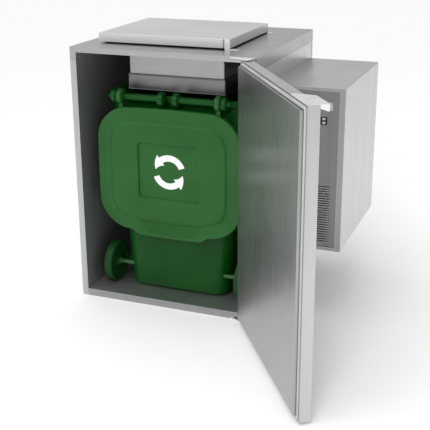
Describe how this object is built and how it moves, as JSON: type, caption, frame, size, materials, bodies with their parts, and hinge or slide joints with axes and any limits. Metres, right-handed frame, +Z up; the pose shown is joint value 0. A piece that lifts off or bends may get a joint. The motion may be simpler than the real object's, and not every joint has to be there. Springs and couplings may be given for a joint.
{
  "type": "refrigerated waste bin cabinet",
  "caption": "Insulated steel cabinet with a swing door, roof feed lid and sliding chute over a two-wheeled bin, cooled by a unit hung on its right wall.",
  "frame": {"origin": "middle of the cabinet's underside, on the floor", "axes": "+X to the right, +Y to the back, +Z up; the door is at the front, at -Y"},
  "size_m": [1.3591, 1.5948, 1.246],
  "materials": {
    "outer_steel": "brushed stainless sheet",
    "inner_steel": "brushed stainless liner",
    "roof_steel": "brushed stainless sheet",
    "polished_steel": "bright folded steel",
    "foam": "rigid insulating foam",
    "seal": "grey rubber profile",
    "dark_seal": "black rubber profile",
    "nylon": "black nylon",
    "bin_green": "moulded green plastic",
    "wheel_rubber": "green solid rubber wheel",
    "axle_steel": "plated steel",
    "black_plastic": "black moulding",
    "red_display": "red display window",
    "pale_plastic": "pale push button",
    "black_paint": "black enamel",
    "aluminium_fin": "pressed aluminium fins",
    "copper": "copper tube",
    "zinc_sheet": "zinc-plated sheet"
  },
  "bodies": {
    "cabinet": {"left_outer_panel": "outer_steel", "right_outer_panel": "outer_steel", "back_outer_panel": "outer_steel", "base_pan": "outer_steel", "unit_casing": "outer_steel", "unit_front_panel": "outer_steel", "roof_cap": "roof_steel", "left_liner": "inner_steel", "right_liner": "inner_steel", "back_liner": "inner_steel", "floor_liner": "inner_steel", "roof_liner": "inner_steel", "evaporator_housing": "inner_steel", "chute_throat": "polished_steel", "top_hinge_plate": "polished_steel", "bottom_hinge_plate": "polished_steel", "feed_lid_brackets": "polished_steel", "blank_name_plate": "polished_steel", "pan_head_screws": "polished_steel", "left_wall_foam": "foam", "right_wall_foam": "foam", "back_wall_foam": "foam", "floor_foam": "foam", "roof_foam": "foam", "wall_grommet": "dark_seal", "door_hinge_pins": "axle_steel", "controller_housing": "black_plastic", "power_inlet": "black_plastic", "controller_display": "red_display", "compressor": "black_paint", "condenser_fan_motor": "black_paint", "evaporator_fan_motor": "black_paint", "condenser_coil": "aluminium_fin", "evaporator_coil": "aluminium_fin", "refrigerant_pipes": "copper", "condenser_fan_shroud": "zinc_sheet"},
    "door": {"door_outer_pan": "outer_steel", "door_foam": "foam", "door_inner_panel": "inner_steel", "door_seal": "seal", "door_handle": "polished_steel", "door_hinge_bushes": "nylon"},
    "feed_lid": {"feed_lid_cover": "outer_steel", "feed_lid_foam": "foam", "feed_lid_underside": "inner_steel", "feed_lid_seal": "dark_seal", "feed_lid_bushes": "nylon"},
    "sleeve": {"chute_sleeve": "polished_steel", "sleeve_knobs": "nylon"},
    "bin": {"bin_body": "bin_green", "bin_handle_rods": "bin_green", "bin_axle": "bin_green"},
    "bin_lid": {"bin_lid": "bin_green"},
    "bin_wheel_left": {"bin_wheel_left": "wheel_rubber"},
    "bin_wheel_right": {"bin_wheel_right": "wheel_rubber"},
    "condenser_fan": {"condenser_fan_blade": "black_plastic"},
    "evaporator_fan": {"evaporator_fan_blade": "black_plastic"},
    "button_up": {"button_up": "pale_plastic"},
    "button_down": {"button_down": "pale_plastic"}
  },
  "joints": [
    {"name": "door_hinge", "type": "hinge", "parent": "cabinet", "child": "door", "pos_m": [0.408, -0.46, 0.6], "axis": [0, 0, 1], "range_deg": [-124, 30]},
    {"name": "feed_lid_hinge", "type": "hinge", "parent": "cabinet", "child": "feed_lid", "pos_m": [0.254, 0, 1.228], "axis": [0, 1, 0], "range_deg": [0, 105]},
    {"name": "sleeve_slide", "type": "slide", "parent": "cabinet", "child": "sleeve", "axis": [0, 0, 1], "range_m": [0, 0.1]},
    {"name": "bin_slide", "type": "slide", "parent": "cabinet", "child": "bin", "axis": [0, -1, 0], "range_m": [0, 0.7]},
    {"name": "bin_lid_hinge", "type": "hinge", "parent": "bin", "child": "bin_lid", "pos_m": [0, -0.345, 0.975], "axis": [-1, 0, 0], "range_deg": [0, 105]},
    {"name": "left_wheel_spin", "type": "hinge", "parent": "bin", "child": "bin_wheel_left", "pos_m": [-0.331, -0.275, 0.1344], "axis": [1, 0, 0], "continuous": true},
    {"name": "right_wheel_spin", "type": "hinge", "parent": "bin", "child": "bin_wheel_right", "pos_m": [0.331, -0.275, 0.1344], "axis": [1, 0, 0], "continuous": true},
    {"name": "condenser_fan_spin", "type": "hinge", "parent": "cabinet", "child": "condenser_fan", "pos_m": [0.61, -0.206, 0.5], "axis": [0, 1, 0], "continuous": true},
    {"name": "evaporator_fan_spin", "type": "hinge", "parent": "cabinet", "child": "evaporator_fan", "pos_m": [0.332, 0.05, 1.092], "axis": [0, 1, 0], "continuous": true},
    {"name": "button_up_press", "type": "slide", "parent": "cabinet", "child": "button_up", "axis": [0, 1, 0], "range_m": [0, 0.0015], "stiffness_N_per_m": 300},
    {"name": "button_down_press", "type": "slide", "parent": "cabinet", "child": "button_down", "axis": [0, 1, 0], "range_m": [0, 0.0015], "stiffness_N_per_m": 300}
  ]
}
